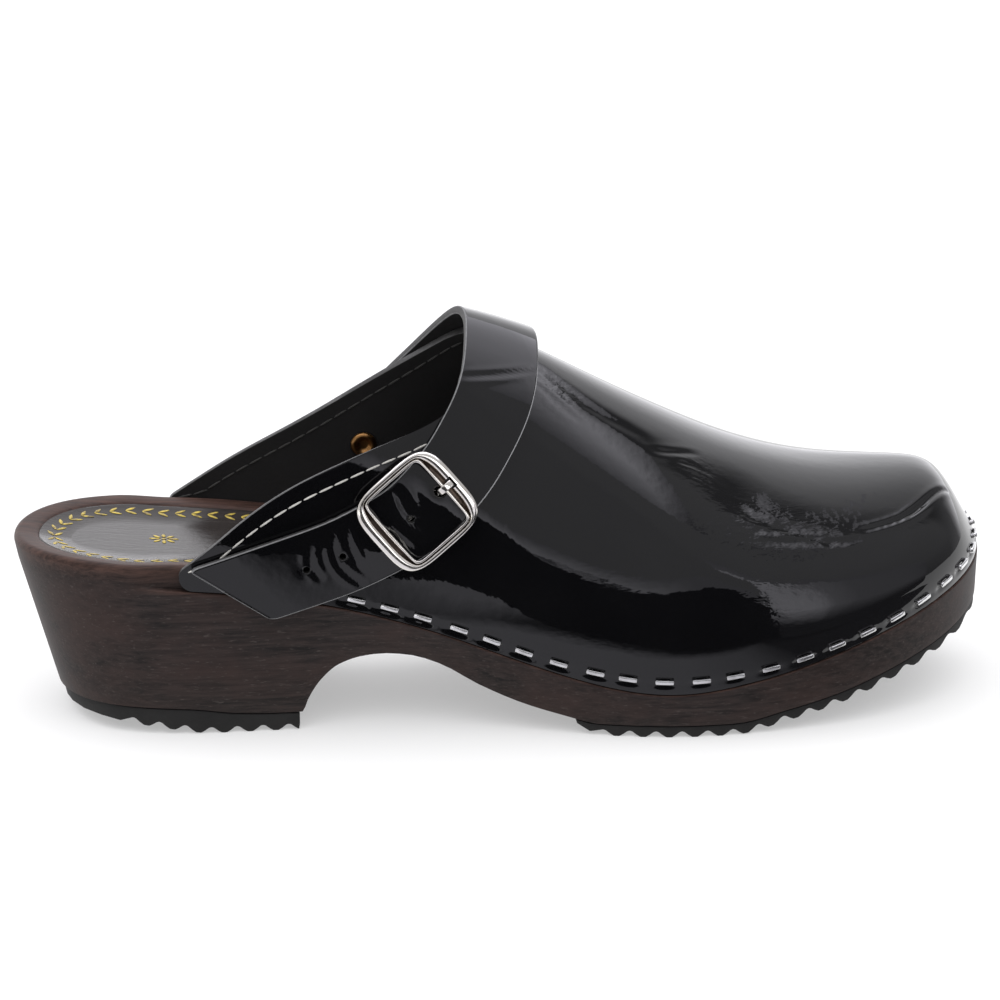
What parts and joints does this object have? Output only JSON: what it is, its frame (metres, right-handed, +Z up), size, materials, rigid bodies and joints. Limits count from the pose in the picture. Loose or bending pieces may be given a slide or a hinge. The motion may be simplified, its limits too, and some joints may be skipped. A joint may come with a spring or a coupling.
{
  "type": "clog",
  "caption": "Backless wooden clog for the right foot: stained wood sole with heel, arch and toe spring, stapled patent leather upper, instep strap with buckle, ribbed rubber treads.",
  "frame": {"origin": "on the floor below the middle of the shoe's length and width", "axes": "+X from heel to toe, +Y to the inner (medial) side, -Y to the outer (lateral) side, +Z up"},
  "size_m": [0.2566, 0.0985, 0.104],
  "materials": {
    "wood": "very dark brown stain, satin",
    "rubber": "black, matt",
    "leather": "black patent, glossy",
    "brass": "polished, slightly dulled",
    "chrome": "bright plated",
    "steel": "bright wire"
  },
  "bodies": {
    "root": {"wooden_sole": "wood", "front_outsole": "rubber", "heel_lift": "rubber", "upper": "leather", "instep_strap": "leather", "strap_rivet": "brass", "buckle_frame": "chrome", "buckle_prong": "chrome", "staple_01": "steel", "staple_02": "steel", "staple_03": "steel", "staple_04": "steel", "staple_05": "steel", "staple_06": "steel", "staple_07": "steel", "staple_08": "steel", "staple_09": "steel", "staple_10": "steel", "staple_11": "steel", "staple_12": "steel", "staple_13": "steel", "staple_14": "steel", "staple_15": "steel", "staple_16": "steel", "staple_17": "steel", "staple_18": "steel", "staple_19": "steel", "staple_20": "steel", "staple_21": "steel", "staple_22": "steel", "staple_23": "steel", "staple_24": "steel", "staple_25": "steel", "staple_26": "steel", "staple_27": "steel", "staple_28": "steel", "staple_29": "steel", "staple_30": "steel", "staple_31": "steel", "staple_32": "steel", "staple_33": "steel", "staple_34": "steel", "staple_35": "steel", "staple_36": "steel", "staple_37": "steel", "staple_38": "steel", "staple_39": "steel", "staple_40": "steel", "staple_41": "steel", "staple_42": "steel", "staple_43": "steel", "staple_44": "steel", "staple_45": "steel", "staple_46": "steel", "staple_47": "steel", "staple_48": "steel"}
  },
  "joints": []
}
